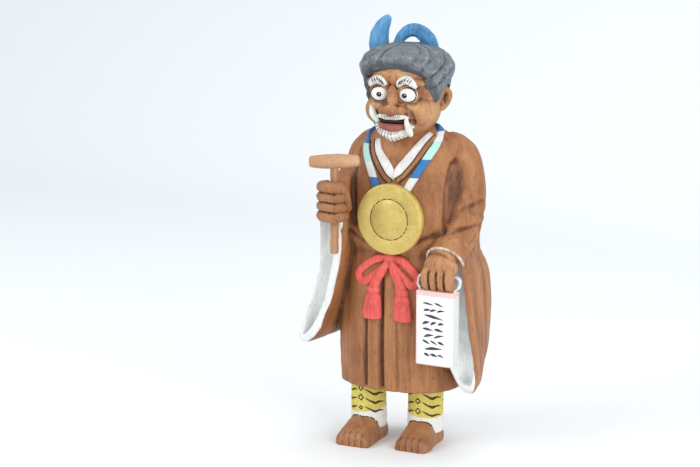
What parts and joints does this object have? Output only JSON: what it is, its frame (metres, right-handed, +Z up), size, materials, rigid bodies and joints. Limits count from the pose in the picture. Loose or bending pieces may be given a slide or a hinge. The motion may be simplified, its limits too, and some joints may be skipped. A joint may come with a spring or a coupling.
{
  "type": "praying demon sculpture",
  "caption": "Standing carved wooden demon in a pilgrim monk's robe, with two horns, a mallet in one fist, a round gong on the chest and a block book hanging from the other hand.",
  "frame": {"origin": "middle of the underside of the whole object's box, on the surface it stands on", "axes": "+Z up the figure, -Y the way it faces, +X its left hand side"},
  "size_m": [0.1148, 0.083, 0.2636],
  "materials": {
    "carved_wood": "oiled, knife-cut, fine vertical grain",
    "blue_paint": "matt mineral paint on wood",
    "gold_leaf": "gold leaf on wood, satin, fine cracks",
    "pale_wood": "bare pale wood, satin",
    "stick_wood": "bare wood, satin",
    "white_paint": "matt chalk paint on wood",
    "grey_paint": "matt mineral paint on wood",
    "coral_paint": "matt mineral paint on wood",
    "yellow_paint": "matt mineral paint on wood",
    "strap_paint": "white, mint and blue matt paint on wood"
  },
  "bodies": {
    "root": {"figure": "carved_wood", "horn_right": "blue_paint", "horn_left": "blue_paint", "gong": "gold_leaf", "mallet_head": "pale_wood", "mallet_handle": "stick_wood", "pilgrim_book": "white_paint"}
  },
  "joints": []
}
